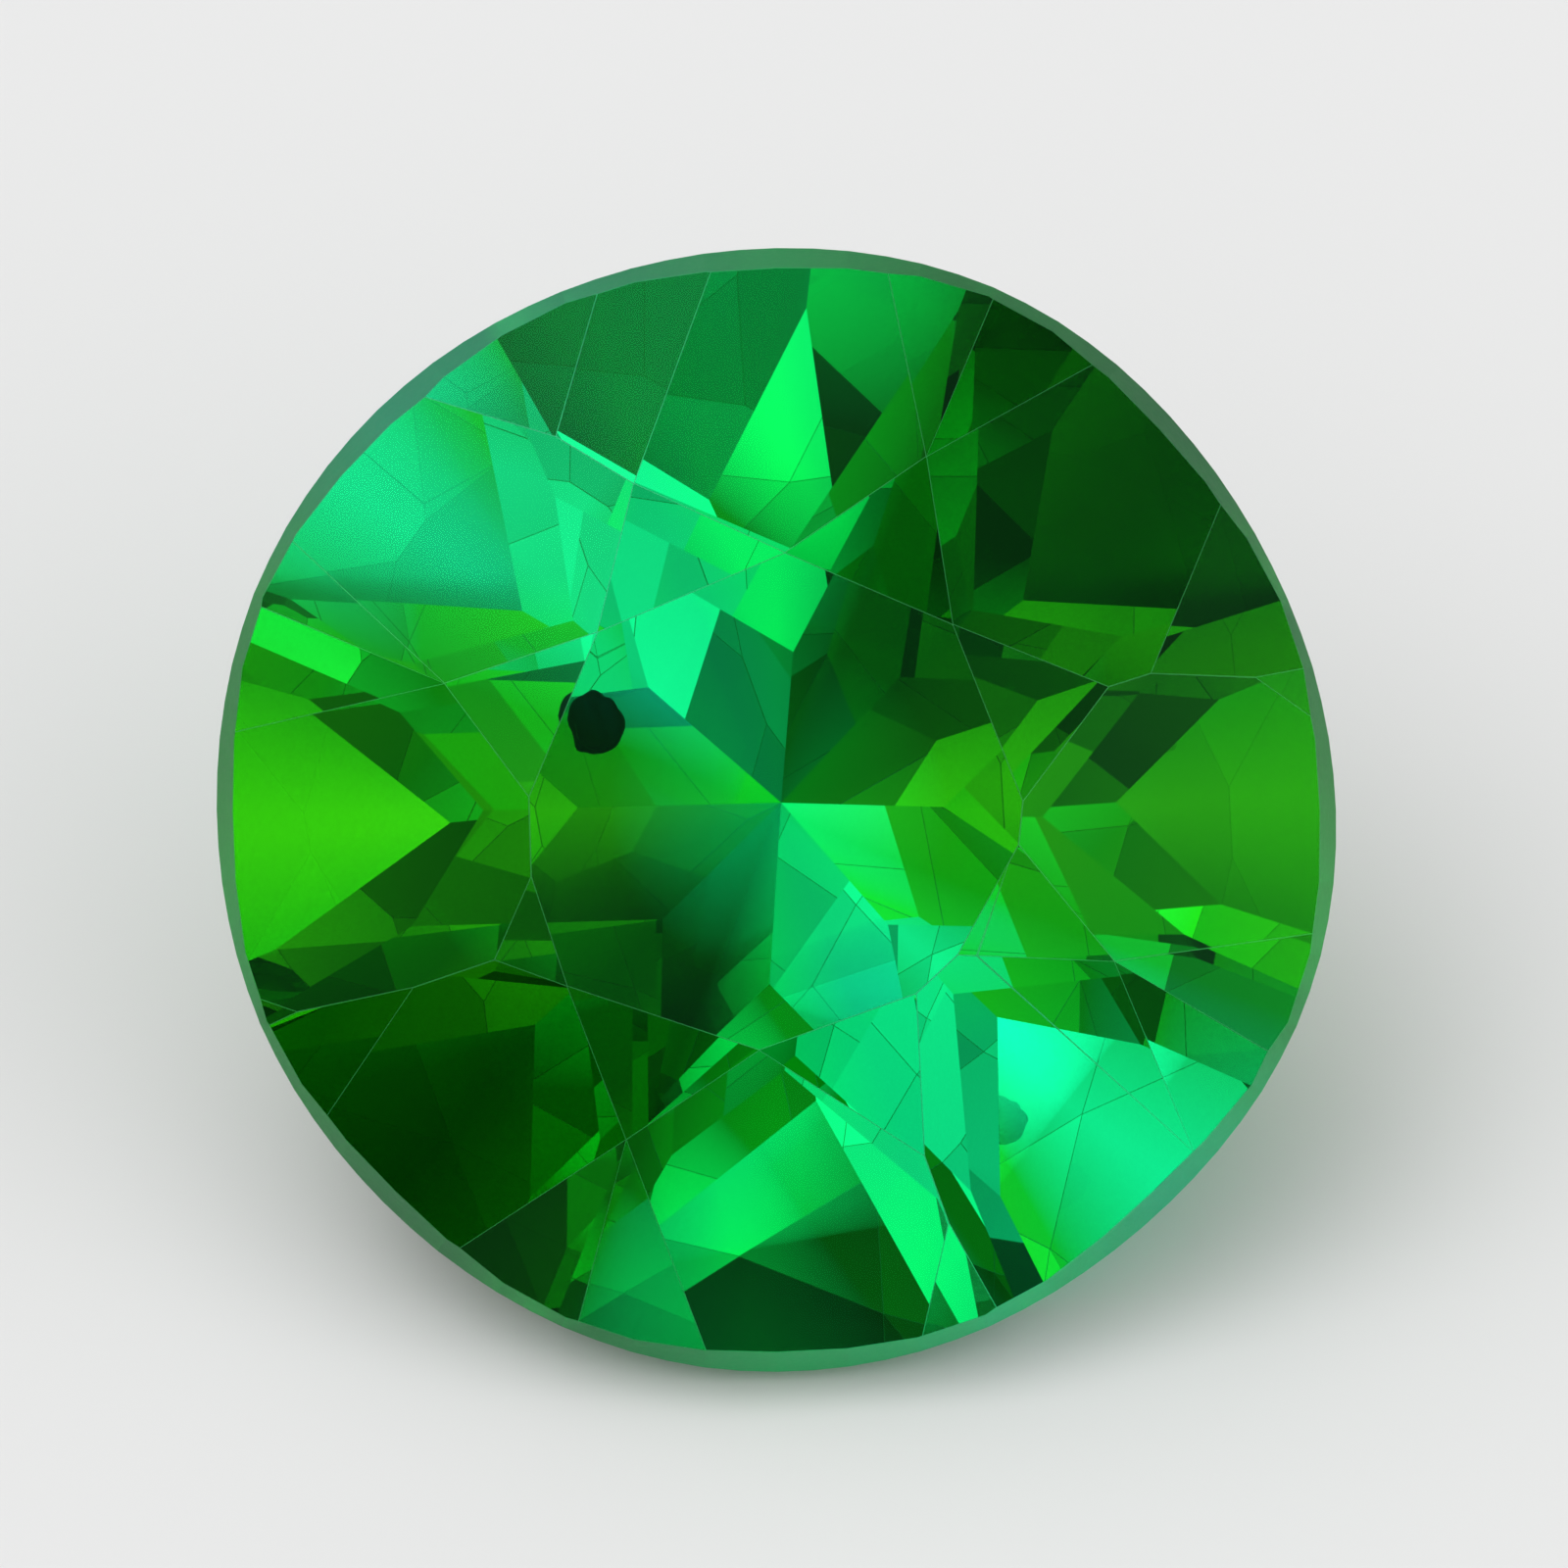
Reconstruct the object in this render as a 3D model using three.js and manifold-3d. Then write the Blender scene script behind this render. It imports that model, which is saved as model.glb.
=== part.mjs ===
// A loose round brilliant tourmaline, cut by hand: one solid stone.
// Lengths are in millimetres and angles in degrees. The stone is cut in its own frame,
// with +Z through the middle of the table and Z = 0 at the top of the girdle.
// It is then laid down on one of its pavilion mains, as a loose stone rests.
import * as THREE from 'three';
import { mergeVertices } from 'three/addons/utils/BufferGeometryUtils.js';
import Module from 'manifold-3d';

// The ground outline. Each wave has its lobes, its height and the direction of a crest.
const girdleRadius = 4.0;
const outlineSides = 96;
const outlineWaves = [
  { lobes: 1, height: 0.020, crest: 116 },
  { lobes: 2, height: 0.020, crest: 124 },
  { lobes: 4, height: 0.021, crest: -16 },
  { lobes: 5, height: 0.016, crest: -11 },
];

// The crown. One entry for each eighth of the stone, anticlockwise from +X:
// table and star are corners as azimuth, radius and, for the star's tip, height.
// foot holds the two lower corners of the main, as azimuth and radius.
const tableHeight = 0.9;
const crown = [
  { table: [-2.5, 1.79], star: [17.0, 2.68, 0.61], foot: [[-13.0, 3.91], [3.0, 3.86]] },
  { table: [46.5, 1.80], star: [67.0, 2.71, 0.59], foot: [[34.5, 3.84], [54.5, 3.91]] },
  { table: [88.0, 1.81], star: [113.5, 2.51, 0.66], foot: [[78.0, 3.87], [97.0, 3.85]] },
  { table: [135.0, 1.77], star: [159.0, 2.50, 0.63], foot: [[130.5, 3.88], [151.0, 3.91]] },
  { table: [184.0, 1.83], star: [201.5, 2.51, 0.68], foot: [[171.5, 3.85], [190.5, 3.85]] },
  { table: [220.0, 1.91], star: [245.5, 2.54, 0.71], foot: [[214.0, 3.83], [239.5, 3.90]] },
  { table: [266.0, 1.68], star: [296.5, 2.90, 0.43], foot: [[258.0, 3.84], [285.5, 3.89]] },
  { table: [313.5, 1.68], star: [336.0, 2.61, 0.55], foot: [[304.5, 3.85], [320.5, 3.87]] },
];

// The pair of break facets below each star parts on the girdle at this azimuth.
// Where the pair parts on the next main's edge, not at the star's tip, part is that point.
const breakFeet = [
  { azimuth: 15.0 },
  { azimuth: 67.0 },
  { azimuth: 108.0, part: [120.5, 3.07] },
  { azimuth: 160.0 },
  { azimuth: 203.0 },
  { azimuth: 249.0 },
  { azimuth: 295.0 },
  { azimuth: 334.0 },
];
const breakFootHeight = -0.04;

// The rim, a narrow steep bevel ground all round below the crown. Its width is the one seen from above.
const rimSlope = 62;
const rimSides = 48;
const rimWidth = 0.11;
const rimWaves = [
  { lobes: 2, height: 0.020, crest: 110 },
  { lobes: 8, height: 0.034, crest: 0 },
];

// The pavilion: eight mains under the crown's mains, and eight facets that meet at the culet.
// A slope is measured from the horizontal, and top is a main's height where it meets the girdle.
const pavilionMains = [
  { azimuth: 3, slope: 45.0, top: -0.59 },
  { azimuth: 41, slope: 45.5, top: -0.59 },
  { azimuth: 100, slope: 45.0, top: -0.52 },
  { azimuth: 140, slope: 45.5, top: -0.55 },
  { azimuth: 182, slope: 45.5, top: -0.58 },
  { azimuth: 225, slope: 45.0, top: -0.55 },
  { azimuth: 270, slope: 45.5, top: -0.51 },
  { azimuth: 318, slope: 44.5, top: -0.59 },
];
const culetFacets = [
  { azimuth: 22, slope: 39.0 },
  { azimuth: 69, slope: 38.5 },
  { azimuth: 110, slope: 40.0 },
  { azimuth: 159, slope: 38.0 },
  { azimuth: 201, slope: 37.5 },
  { azimuth: 248, slope: 37.5 },
  { azimuth: 290, slope: 38.5 },
  { azimuth: 335, slope: 39.0 },
];
const culet = new THREE.Vector3(0.035, 0.05, -4.25);

// The main that the stone lies on. It faces -Y.
const restingMain = pavilionMains[6];

const roughHeight = 2.0; // above the girdle, before the table is cut
const roughDepth = 5.5;
const lapSize = 30;      // a block that takes away all that is outside one facet

const up = new THREE.Vector3(0, 0, 1);
const toRadians = THREE.MathUtils.degToRad;

function polar(azimuth, radius, height = 0) {
  const angle = toRadians(azimuth);
  return new THREE.Vector3(radius * Math.cos(angle), radius * Math.sin(angle), height);
}

function wavy(size, waves, azimuth) {
  const wave = ({ lobes, height, crest }) => height * Math.cos(lobes * toRadians(azimuth - crest));
  return waves.reduce((sum, item) => sum + wave(item), size);
}

function outlineRadius(azimuth) {
  return wavy(girdleRadius, outlineWaves, azimuth);
}

// The directions of the corners of a ring with so many sides.
function ringAzimuths(sides) {
  return Array.from({ length: sides }, (_, index) => (index * 360) / sides);
}

// A facet is the plane through three points, turned so that its normal points out of the stone.
function facetThrough(a, b, c) {
  const facet = new THREE.Plane().setFromCoplanarPoints(a, b, c);
  return facet.distanceToPoint(new THREE.Vector3()) > 0 ? facet.negate() : facet;
}

// A pavilion facet through a point, from its azimuth and its slope under the horizontal.
function pavilionFacet(azimuth, slope, point) {
  const tilt = toRadians(slope);
  const normal = polar(azimuth, Math.sin(tilt), -Math.cos(tilt));
  return new THREE.Plane().setFromNormalAndCoplanarPoint(normal, point);
}

// The point of a facet straight above or below a place on the girdle plane.
function onFacet(facet, [azimuth, radius]) {
  const foot = polar(azimuth, radius);
  foot.z = -facet.distanceToPoint(foot) / facet.normal.z;
  return foot;
}

function crownFacets() {
  const corners = crown.map(({ table }) => polar(...table, tableHeight));
  const tips = crown.map(({ star }) => polar(...star));
  const before = (index) => (index + crown.length - 1) % crown.length;
  const after = (index) => (index + 1) % crown.length;
  const mains = crown.map((_, index) => facetThrough(corners[index], tips[before(index)], tips[index]));
  const feet = crown.map(({ foot }, index) => foot.map((place) => onFacet(mains[index], place)));
  const stars = crown.map((_, index) => facetThrough(corners[index], corners[after(index)], tips[index]));

  const breaks = breakFeet.flatMap(({ azimuth, part }, index) => {
    const next = after(index);
    const footPlace = [azimuth, outlineRadius(azimuth)];
    const top = part ? onFacet(mains[next], part) : tips[index];
    const below = part ? top : polar(...footPlace, breakFootHeight);
    const first = facetThrough(tips[index], feet[index][1], below);
    return [first, facetThrough(top, feet[next][0], onFacet(first, footPlace))];
  });

  const table = facetThrough(corners[0], corners[2], corners[5]);
  return [table, ...mains, ...stars, ...breaks];
}

function rimFacets(crownPlanes) {
  const lower = (a, b) => (a.z < b.z ? a : b);
  const edge = ringAzimuths(rimSides).map((azimuth) => {
    const place = [azimuth, outlineRadius(azimuth) - wavy(rimWidth, rimWaves, azimuth)];
    return crownPlanes.map((facet) => onFacet(facet, place)).reduce(lower);
  });
  return edge.map((first, index) => {
    const last = edge[(index + 1) % rimSides];
    const middle = first.clone().lerp(last, 0.5);
    const outward = last.clone().sub(first).cross(up).normalize();
    const below = middle.add(outward).addScaledVector(up, -Math.tan(toRadians(rimSlope)));
    return facetThrough(first, last, below);
  });
}

function pavilionFacets() {
  const mains = pavilionMains.map(({ azimuth, slope, top }) =>
    pavilionFacet(azimuth, slope, polar(azimuth, girdleRadius, top)));
  const tips = culetFacets.map(({ azimuth, slope }) => pavilionFacet(azimuth, slope, culet));
  return [...mains, ...tips];
}

function roughStone() {
  const corners = ringAzimuths(outlineSides).map((azimuth) => polar(azimuth, outlineRadius(azimuth)));
  const outline = new THREE.Shape(corners.map(({ x, y }) => new THREE.Vector2(x, y)));
  const depth = roughHeight + roughDepth;
  return new THREE.ExtrudeGeometry(outline, { depth, bevelEnabled: false }).translate(0, 0, -roughDepth);
}

// The block that lies against the outer side of a facet.
function lapBlock(facet) {
  const middle = facet.projectPoint(new THREE.Vector3(), new THREE.Vector3());
  const block = new THREE.BoxGeometry(lapSize, lapSize, lapSize).translate(0, 0, lapSize / 2);
  block.applyQuaternion(new THREE.Quaternion().setFromUnitVectors(up, facet.normal));
  return block.translate(middle.x, middle.y, middle.z);
}

const wasm = await Module();
wasm.setup();

function toSolid(geometry) {
  geometry.deleteAttribute('normal');
  geometry.deleteAttribute('uv');
  const merged = mergeVertices(geometry);
  const mesh = { numProp: 3, vertProperties: merged.attributes.position.array };
  return new wasm.Manifold(new wasm.Mesh({ ...mesh, triVerts: new Uint32Array(merged.index.array) }));
}

function toGeometry(solid) {
  const { vertProperties, triVerts } = solid.getMesh();
  const geometry = new THREE.BufferGeometry();
  geometry.setAttribute('position', new THREE.BufferAttribute(vertProperties, 3));
  geometry.setIndex(new THREE.BufferAttribute(triVerts, 1));
  return geometry;
}

function cutStone() {
  const crownPlanes = crownFacets();
  const facets = [...crownPlanes, ...rimFacets(crownPlanes), ...pavilionFacets()];
  const cut = (stone, facet) => stone.subtract(toSolid(lapBlock(facet)));
  return toGeometry(facets.reduce(cut, toSolid(roughStone())));
}

// Turns the stone onto its resting main and puts the bottom centre of its box at the origin.
function layDown(geometry) {
  const { azimuth, slope } = restingMain;
  geometry.rotateZ(toRadians(-90 - azimuth)).rotateX(toRadians(slope));
  geometry.computeBoundingBox();
  const { min, max } = geometry.boundingBox;
  return geometry.translate(-(min.x + max.x) / 2, -(min.y + max.y) / 2, -min.z);
}

function tourmaline() {
  const material = new THREE.MeshStandardMaterial({ color: 0x0a8f3c, roughness: 0.03, metalness: 0 });
  const mesh = new THREE.Mesh(layDown(cutStone()), material);
  mesh.name = 'tourmaline';
  return mesh;
}

const stone = new THREE.Group();
stone.add(tourmaline());

export default stone;
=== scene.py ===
import math

import bmesh
import bpy
from mathutils import Matrix, Vector, noise


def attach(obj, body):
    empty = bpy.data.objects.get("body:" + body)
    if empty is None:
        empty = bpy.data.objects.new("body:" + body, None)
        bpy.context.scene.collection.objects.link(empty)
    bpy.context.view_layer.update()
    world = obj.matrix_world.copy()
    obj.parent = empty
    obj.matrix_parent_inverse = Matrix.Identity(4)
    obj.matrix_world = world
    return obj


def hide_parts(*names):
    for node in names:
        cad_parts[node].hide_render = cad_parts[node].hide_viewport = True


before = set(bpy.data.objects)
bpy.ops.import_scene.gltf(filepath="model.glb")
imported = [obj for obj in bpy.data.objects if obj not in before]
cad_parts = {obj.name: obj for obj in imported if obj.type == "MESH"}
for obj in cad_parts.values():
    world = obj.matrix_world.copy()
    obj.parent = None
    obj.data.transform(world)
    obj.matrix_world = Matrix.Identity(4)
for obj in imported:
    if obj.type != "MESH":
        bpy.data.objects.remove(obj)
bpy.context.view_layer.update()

mm = 0.001

# The stone is described in the frame it was cut in: +Z through the table, zero at the girdle.
cut = {
    "lean": 45.5,                   # degrees that the table leans towards -Y as the stone lies
    "culet": (0.035, 0.05, -4.25),  # mm
    "junction": 0.010,              # mm, width of the fine worn line where two crown facets meet
    "groundSlope": (-0.3, 0.6),     # how far up the normals of the rim and the girdle point
    "weld": 0.0005,                 # mm, corners that lie closer than this are one
    "flat": 0.3,                    # degrees, triangles that differ by less are one facet
}


# The culet is the corner that lies furthest back along the stone's axis.
def findCutFrame(node):
    turn = Matrix.Rotation(math.radians(cut["lean"]), 4, "X")
    axis = turn @ Vector((0, 0, 1))
    culet = min((v.co for v in node.data.vertices), key=lambda co: co.dot(axis))
    return Matrix.Translation(culet - turn @ (Vector(cut["culet"]) * mm)) @ turn


cutFrame = findCutFrame(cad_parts["tourmaline"])
print("cut frame origin in mm:", [round(c / mm, 3) for c in cutFrame.translation])


# What more than one piece or material needs

def addObject(name, bm):
    mesh = bpy.data.meshes.new(name)
    bm.to_mesh(mesh)
    bm.free()
    made = bpy.data.objects.new(name, mesh)
    bpy.context.collection.objects.link(made)
    return made


def newMaterial(name):
    material = bpy.data.materials.new(name)
    material.use_nodes = True
    return material


def principled(material):
    return material.node_tree.nodes["Principled BSDF"]


# Gives a socket a plain value or another node's output.
def feed(tree, socket, value):
    if isinstance(value, bpy.types.NodeSocket):
        tree.links.new(value, socket)
    else:
        socket.default_value = value


def addMath(tree, operation, *values):
    node = tree.nodes.new("ShaderNodeMath")
    node.operation = operation
    for socket, value in zip(node.inputs, values):
        feed(tree, socket, value)
    return node.outputs[0]


# Share is how much of the second colour goes into the blend.
def addBlend(tree, share, first, second):
    node = tree.nodes.new("ShaderNodeMix")
    node.data_type = "RGBA"
    feed(tree, node.inputs[0], share)
    feed(tree, node.inputs[6], first)    # the node has its two colours at 6 and 7
    feed(tree, node.inputs[7], second)
    return node.outputs[2]               # and the blended one at 2


# Camera and light

view = {
    "frameWidth": 11.15,     # mm of the stone's own plane that the picture takes in
    "distance": 60.0,        # mm from the girdle
    "aim": (0.056, 0.188),   # mm, the picture's middle in the cut's frame
    "sensor": 36.0,          # mm
    "clip": (0.001, 20.0),   # m, the nearest and the furthest that it sees
}


def makeCamera():
    data = bpy.data.cameras.new("camera")
    data.sensor_width = view["sensor"]
    data.lens = view["sensor"] * view["distance"] / view["frameWidth"]
    data.clip_start, data.clip_end = view["clip"]
    camera = bpy.data.objects.new("camera", data)
    bpy.context.collection.objects.link(camera)
    place = Vector((*view["aim"], view["distance"])) * mm
    camera.matrix_world = cutFrame @ Matrix.Translation(place)
    bpy.context.scene.camera = camera


studio = {
    "backdrop": (0.73, 0.71, 0.67),
    "floor": (0.72, 0.72, 0.72),
    "floorRoughness": 0.9,
    "floorReach": 1.5,       # m, from the stone to the floor's edges
    "floorGap": 0.02,        # mm, between the stone and the floor
    # softboxes as the stone sees them: azimuth, height and the reach of their fading rim,
    # in degrees, and brightness
    "softboxes": {
        "left low": (180, 0, 44, 1.15),
        "left middle": (215, 40, 32, 0.85),
        "left high": (170, 50, 40, 0.80),
        "left top": (205, 60, 32, 1.00),
        "top": (130, 70, 40, 1.55),
        "back left": (125, 15, 48, 0.40),
        "back": (75, 20, 48, 0.40),
        "right low": (10, 15, 44, 0.90),
        "right front": (330, 10, 40, 0.90),
        "right middle": (345, 30, 40, 0.50),
        "right corner": (315, 25, 32, 0.60),
        "right high": (335, 60, 32, 0.65),
        "front": (270, 45, 28, 0.80),
        "front left": (245, 35, 32, 0.55),
        "front right": (300, 50, 30, 0.30),
        "front low": (250, 12, 32, 0.20),
        "front lower right": (300, 30, 18, 0.65),
        "front lower left": (280, 22, 18, 0.30),
    },
}


def direction(azimuth, height):
    around = math.radians(azimuth)
    above = math.radians(height)
    level = math.cos(above)
    return Vector((math.cos(around) * level, math.sin(around) * level, math.sin(above)))


# How much of one softbox each direction of the room gets
def addSoftbox(tree, coords, azimuth, height, reach, brightness):
    facing = tree.nodes.new("ShaderNodeVectorMath")
    facing.operation = "DOT_PRODUCT"
    facing.inputs[1].default_value = direction(azimuth, height)
    tree.links.new(coords.outputs["Generated"], facing.inputs[0])
    edge = tree.nodes.new("ShaderNodeMapRange")
    edge.interpolation_type = "SMOOTHSTEP"
    edge.inputs["From Min"].default_value = math.cos(math.radians(reach))
    edge.inputs["From Max"].default_value = 1.0
    edge.inputs["To Max"].default_value = brightness
    tree.links.new(facing.outputs["Value"], edge.inputs["Value"])
    return edge.outputs["Result"]


# Round softboxes in a dark room. The camera sees a plain backdrop in place of them.
def makeDome():
    world = bpy.data.worlds.new("dome")
    world.use_nodes = True
    bpy.context.scene.world = world
    tree = world.node_tree
    tree.nodes.clear()
    coords = tree.nodes.new("ShaderNodeTexCoord")
    total = 0.0
    for softbox in studio["softboxes"].values():
        total = addMath(tree, "ADD", addSoftbox(tree, coords, *softbox), total)
    light = tree.nodes.new("ShaderNodeBackground")
    tree.links.new(total, light.inputs["Strength"])
    wall = tree.nodes.new("ShaderNodeBackground")
    wall.inputs["Color"].default_value = (*studio["backdrop"], 1)
    path = tree.nodes.new("ShaderNodeLightPath")
    mix = tree.nodes.new("ShaderNodeMixShader")
    out = tree.nodes.new("ShaderNodeOutputWorld")
    tree.links.new(path.outputs["Is Camera Ray"], mix.inputs["Fac"])
    tree.links.new(light.outputs["Background"], mix.inputs[1])
    tree.links.new(wall.outputs["Background"], mix.inputs[2])
    tree.links.new(mix.outputs["Shader"], out.inputs["Surface"])


def makeFloor():
    bm = bmesh.new()
    bmesh.ops.create_grid(bm, x_segments=1, y_segments=1, size=studio["floorReach"])
    bmesh.ops.translate(bm, verts=bm.verts, vec=(0, 0, -studio["floorGap"] * mm))
    floor = addObject("floor", bm)
    material = newMaterial("floorPaint")
    shader = principled(material)
    shader.inputs["Base Color"].default_value = (*studio["floor"], 1)
    shader.inputs["Roughness"].default_value = studio["floorRoughness"]
    floor.data.materials.append(material)


makeCamera()
makeDome()
makeFloor()
print("studio made")


# The stone

crystal = {
    "index": 1.63,                  # of refraction
    "roughness": 0.0,
    "gleam": (0.05, 0.30, 0.12),    # tint of what the polished facets mirror
    "body": (0.97, 0.99, 0.90),     # what the crystal lets through
    "absorption": 1000.0,           # per metre
    "heart": (0.001, 0.62, 0.33),   # colour on the stone's axis
    "heartRadius": 1.2,             # mm, where the zones have their full colour
    # colour round the stone, by azimuth in the cut's frame; both halves are alike. Partly the stone's
    # own colour zoning, partly painted shade: the dark zones are made darker to give the dark facets
    # that the light alone leaves too bright
    "zonesAndPaintedShade": [
        (0, (0.035, 0.37, 0.003)),
        (22, (0.010, 0.15, 0.002)),
        (45, (0.001, 0.06, 0.001)),
        (68, (0.001, 0.09, 0.001)),
        (90, (0.001, 0.80, 0.28)),
        (112, (0.006, 0.60, 0.52)),
        (135, (0.008, 0.76, 0.68)),
        (158, (0.006, 0.32, 0.01)),
        (180, (0.035, 0.37, 0.003)),
    ],
}


# The rim, the girdle and the worn lines between the facets are ground, not polished.
ground = {
    "roughness": (0.28, 0.50),      # from the grain's lowest to its highest
    "transmission": 0.7,
    "color": (0.05, 0.42, 0.15),
    "gleam": (0.4, 0.9, 0.6),       # tint of what it mirrors
    "zoned": 0.4,                   # how far the crystal's zone colours, painted shade included, tint it
    "grain": 0.04,                  # mm, size of the grinding marks
    "depth": 0.002,                 # mm, how deep they are
}


# The colours of the zones, their painted shade included, where turn runs from 0 to 1 over half a turn
def addZoneAndShadeRamp(tree, turn):
    ramp = tree.nodes.new("ShaderNodeValToRGB")
    elements = ramp.color_ramp.elements
    while len(elements) < len(crystal["zonesAndPaintedShade"]):
        elements.new(0.5)
    for element, (azimuth, color) in zip(elements, crystal["zonesAndPaintedShade"]):
        element.position = azimuth / 180
        element.color = (*color, 1)
    tree.links.new(turn, ramp.inputs["Fac"])
    return ramp.outputs["Color"]


# The colour of the crystal, by the way round its axis and the distance from it: partly its own colour
# zoning, partly painted shade in the darkened zones
def makeZonesAndPaintedShade():
    tree = bpy.data.node_groups.new("colorZonesAndPaintedShade", "ShaderNodeTree")
    tree.interface.new_socket("Heart Radius", in_out="INPUT", socket_type="NodeSocketFloat")
    tree.interface.new_socket("Color", in_out="OUTPUT", socket_type="NodeSocketColor")
    given = tree.nodes.new("NodeGroupInput")
    result = tree.nodes.new("NodeGroupOutput")
    coords = tree.nodes.new("ShaderNodeTexCoord")
    place = tree.nodes.new("ShaderNodeMapping")
    place.vector_type = "TEXTURE"
    place.inputs["Location"].default_value = cutFrame.translation
    place.inputs["Rotation"].default_value = (math.radians(cut["lean"]), 0, 0)
    tree.links.new(coords.outputs["Object"], place.inputs["Vector"])
    axes = tree.nodes.new("ShaderNodeSeparateXYZ")
    tree.links.new(place.outputs["Vector"], axes.inputs[0])
    azimuth = addMath(tree, "ARCTAN2", axes.outputs["Y"], axes.outputs["X"])
    turn = addMath(tree, "FRACT", addMath(tree, "DIVIDE", azimuth, math.pi))
    across = addMath(tree, "MULTIPLY", axes.outputs["X"], axes.outputs["X"])
    along = addMath(tree, "MULTIPLY", axes.outputs["Y"], axes.outputs["Y"])
    radius = addMath(tree, "SQRT", addMath(tree, "ADD", across, along))
    share = addMath(tree, "DIVIDE", radius, given.outputs["Heart Radius"])
    outward = addMath(tree, "MINIMUM", share, 1.0)
    color = addBlend(tree, outward, (*crystal["heart"], 1), addZoneAndShadeRamp(tree, turn))
    tree.links.new(color, result.inputs["Color"])
    return tree


def addZonesAndPaintedShade(tree, zonesAndPaintedShade):
    node = tree.nodes.new("ShaderNodeGroup")
    node.node_tree = zonesAndPaintedShade
    node.inputs["Heart Radius"].default_value = crystal["heartRadius"] * mm
    return node.outputs["Color"]


# Light fades on its way through the crystal, whatever finish it came in by.
def addBody(tree):
    body = tree.nodes.new("ShaderNodeVolumeAbsorption")
    body.inputs["Color"].default_value = (*crystal["body"], 1)
    body.inputs["Density"].default_value = crystal["absorption"]
    tree.links.new(body.outputs["Volume"], tree.nodes["Material Output"].inputs["Volume"])


def makeCrystal(zonesAndPaintedShade):
    material = newMaterial("tourmaline")
    tree = material.node_tree
    shader = principled(material)
    shader.inputs["Roughness"].default_value = crystal["roughness"]
    shader.inputs["IOR"].default_value = crystal["index"]
    shader.inputs["Transmission Weight"].default_value = 1.0
    shader.inputs["Specular Tint"].default_value = (*crystal["gleam"], 1)
    # the Base Color carries the zone colours, which are partly painted shade for the dark facets
    tree.links.new(addZonesAndPaintedShade(tree, zonesAndPaintedShade), shader.inputs["Base Color"])
    addBody(tree)
    return material


def makeGround(zonesAndPaintedShade):
    material = newMaterial("groundRim")
    tree = material.node_tree
    shader = principled(material)
    shader.inputs["IOR"].default_value = crystal["index"]
    shader.inputs["Transmission Weight"].default_value = ground["transmission"]
    shader.inputs["Specular Tint"].default_value = (*ground["gleam"], 1)
    tint = addBlend(tree, ground["zoned"], (*ground["color"], 1), addZonesAndPaintedShade(tree, zonesAndPaintedShade))
    tree.links.new(tint, shader.inputs["Base Color"])
    coords = tree.nodes.new("ShaderNodeTexCoord")
    grain = tree.nodes.new("ShaderNodeTexNoise")
    grain.inputs["Scale"].default_value = 1 / (ground["grain"] * mm)
    tree.links.new(coords.outputs["Object"], grain.inputs["Vector"])
    smoothest, roughest = ground["roughness"]
    sheen = tree.nodes.new("ShaderNodeMapRange")
    sheen.inputs["To Min"].default_value = smoothest
    sheen.inputs["To Max"].default_value = roughest
    tree.links.new(grain.outputs["Fac"], sheen.inputs["Value"])
    tree.links.new(sheen.outputs["Result"], shader.inputs["Roughness"])
    bump = tree.nodes.new("ShaderNodeBump")
    bump.inputs["Distance"].default_value = ground["depth"] * mm
    tree.links.new(grain.outputs["Fac"], bump.inputs["Height"])
    tree.links.new(bump.outputs["Normal"], shader.inputs["Normal"])
    addBody(tree)
    return material


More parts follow.
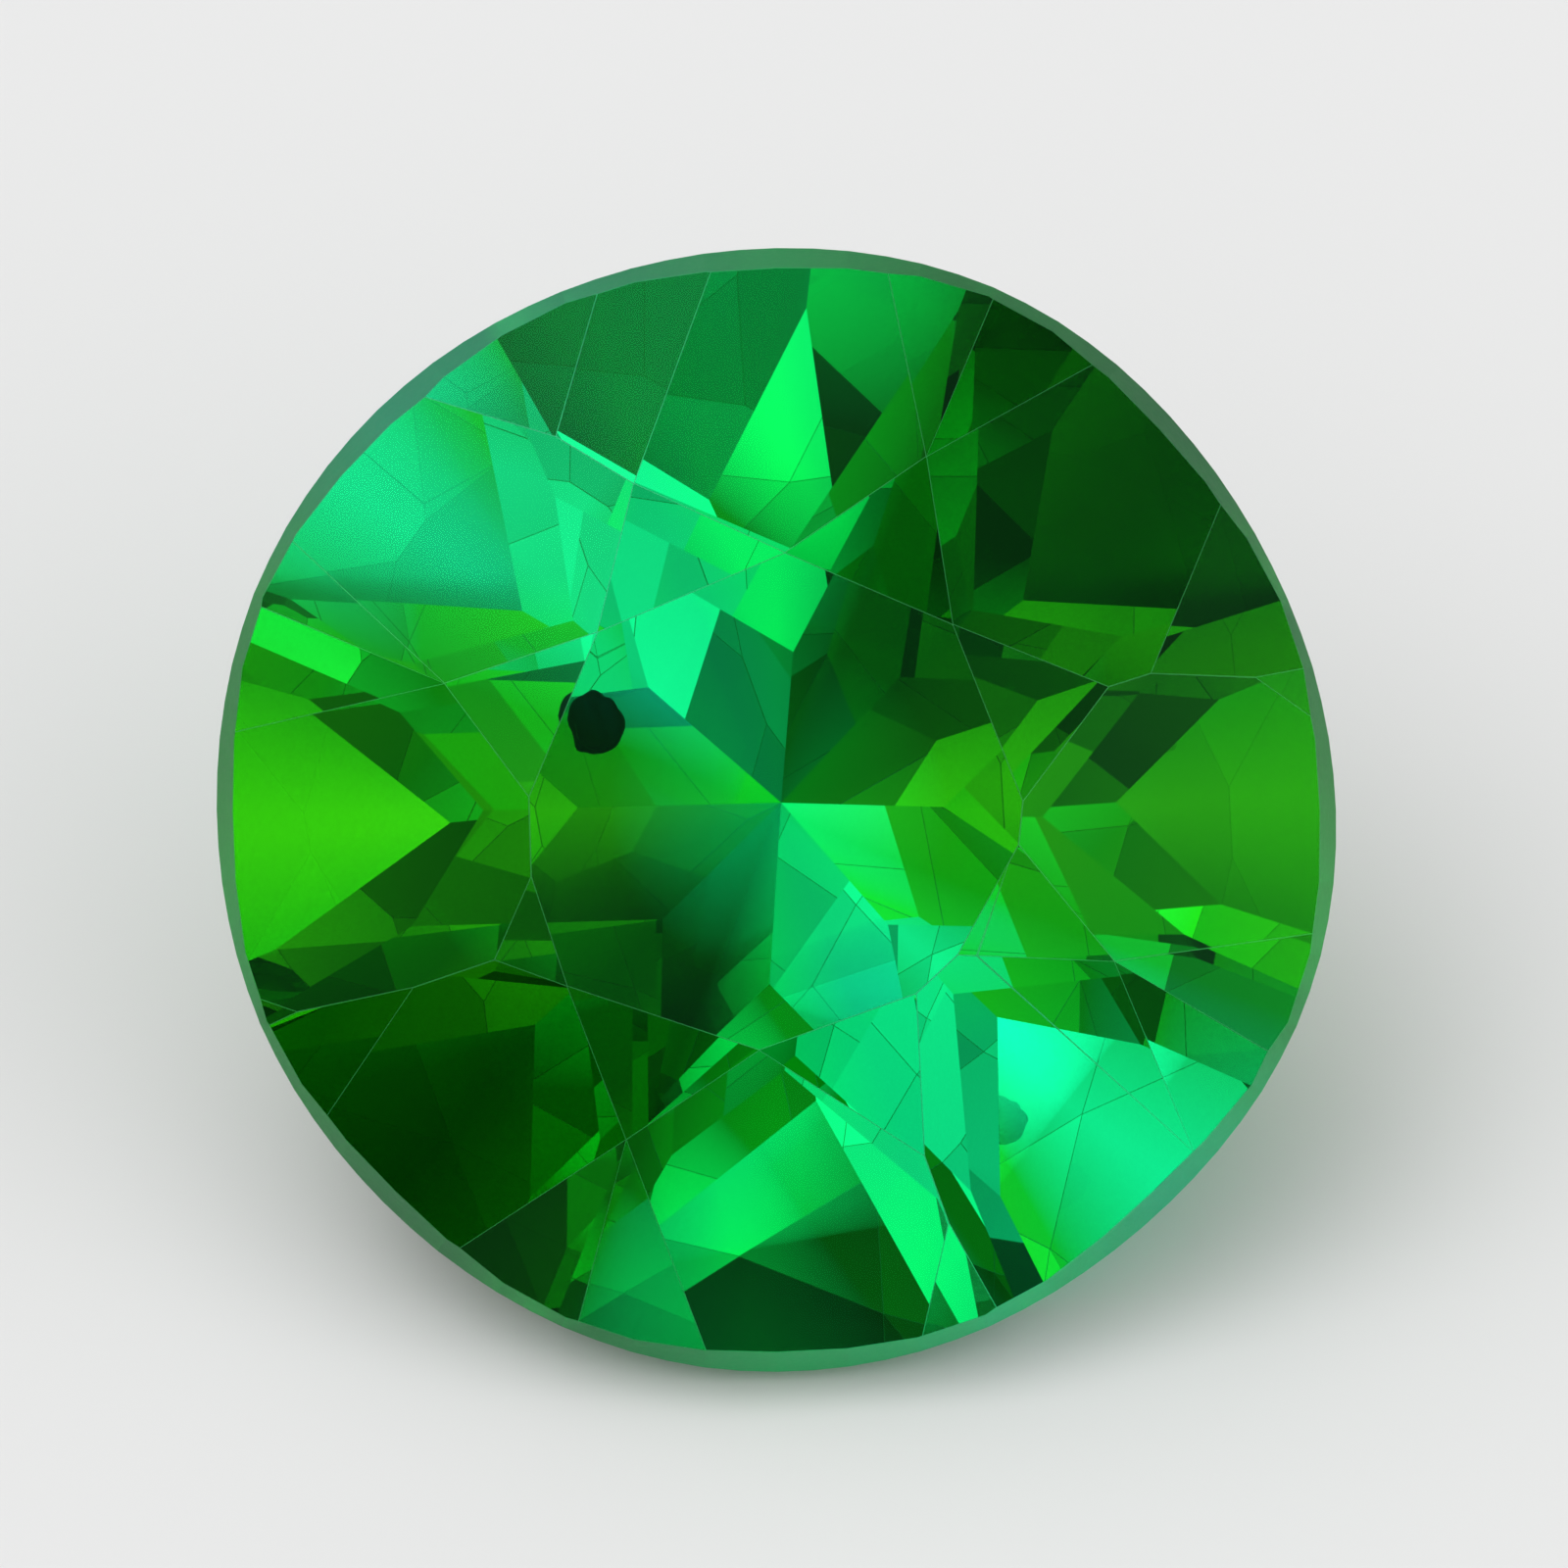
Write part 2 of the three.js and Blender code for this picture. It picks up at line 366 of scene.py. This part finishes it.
# The cut solid with whole facets, and with narrow worn strips where the crown's facets meet
def makeStone(node):
    bm = bmesh.new()
    bm.from_mesh(node.data)
    bmesh.ops.remove_doubles(bm, verts=bm.verts, dist=cut["weld"] * mm)
    bmesh.ops.dissolve_limit(bm, angle_limit=math.radians(cut["flat"]), verts=bm.verts, edges=bm.edges)
    axis = (cutFrame.to_3x3() @ Vector((0, 0, 1))).normalized()
    least, most = cut["groundSlope"]
    rim = [face for face in bm.faces if least < face.normal.dot(axis) < most]
    crown = [face for face in bm.faces if face.normal.dot(axis) >= most]
    strip = cut["junction"] * mm / 2    # each of two facets gives half of the line
    worn = bmesh.ops.inset_individual(bm, faces=crown, thickness=strip, use_even_offset=False)
    for face in rim + worn["faces"]:
        face.material_index = 1    # the ground finish
    print("stone faces:", len(bm.faces), "open edges:", sum(not e.is_manifold for e in bm.edges))
    stone = addObject("stone", bm)
    zonesAndPaintedShade = makeZonesAndPaintedShade()
    stone.data.materials.append(makeCrystal(zonesAndPaintedShade))
    stone.data.materials.append(makeGround(zonesAndPaintedShade))
    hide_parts("tourmaline")
    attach(stone, "root")


makeStone(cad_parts["tourmaline"])
print("stone made")


# A dark speck in the stone, close under the table: a painted reflection, standing in for the dark
# camera lens that the stone mirrors there

paintedLensReflection = {
    "place": (-1.27, 0.60, 0.30),    # mm, in the cut's frame
    "radii": (0.23, 0.18, 0.13),     # mm
    "azimuth": -80.0,                # degrees, the way of its longest radius
    "lumps": 0.25,                   # part of its size by which it swells and shrinks
    "lumpCount": 1.6,                # about so many lumps along each radius
    "smoothness": 4,                 # subdivisions of the ball it is made from
    # painted reflection: the near-black of the camera lens as the stone mirrors it
    "color": (0.010, 0.006, 0.003),
    "roughness": 0.6,
}


def makePaintedLensReflection():
    bm = bmesh.new()
    bmesh.ops.create_icosphere(bm, subdivisions=paintedLensReflection["smoothness"], radius=1.0)
    for vertex in bm.verts:
        vertex.co *= 1 + paintedLensReflection["lumps"] * noise.noise(vertex.co * paintedLensReflection["lumpCount"])
    turn = Matrix.Rotation(math.radians(paintedLensReflection["azimuth"]), 4, "Z")
    size = Matrix.Diagonal((Vector(paintedLensReflection["radii"]) * mm).to_4d())
    place = Matrix.Translation(Vector(paintedLensReflection["place"]) * mm)
    bmesh.ops.transform(bm, verts=bm.verts, matrix=cutFrame @ place @ turn @ size)
    for face in bm.faces:
        face.smooth = True
    speck = addObject("paintedLensReflection", bm)
    # the speck's dark material paints in the reflection of the camera lens
    material = newMaterial("paintedLensReflectionDark")
    shader = principled(material)
    shader.inputs["Base Color"].default_value = (*paintedLensReflection["color"], 1)
    shader.inputs["Roughness"].default_value = paintedLensReflection["roughness"]
    speck.data.materials.append(material)
    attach(speck, "root")


makePaintedLensReflection()
print("inclusion made")


# How the picture is finished

picture = {
    "look": "Medium High Contrast",
    "bounces": 16,    # enough for light to find its way out of the stone
}

scene = bpy.context.scene
scene.view_settings.view_transform = "Standard"
scene.view_settings.look = picture["look"]
scene.cycles.max_bounces = picture["bounces"]
scene.cycles.glossy_bounces = picture["bounces"]
scene.cycles.transmission_bounces = picture["bounces"]
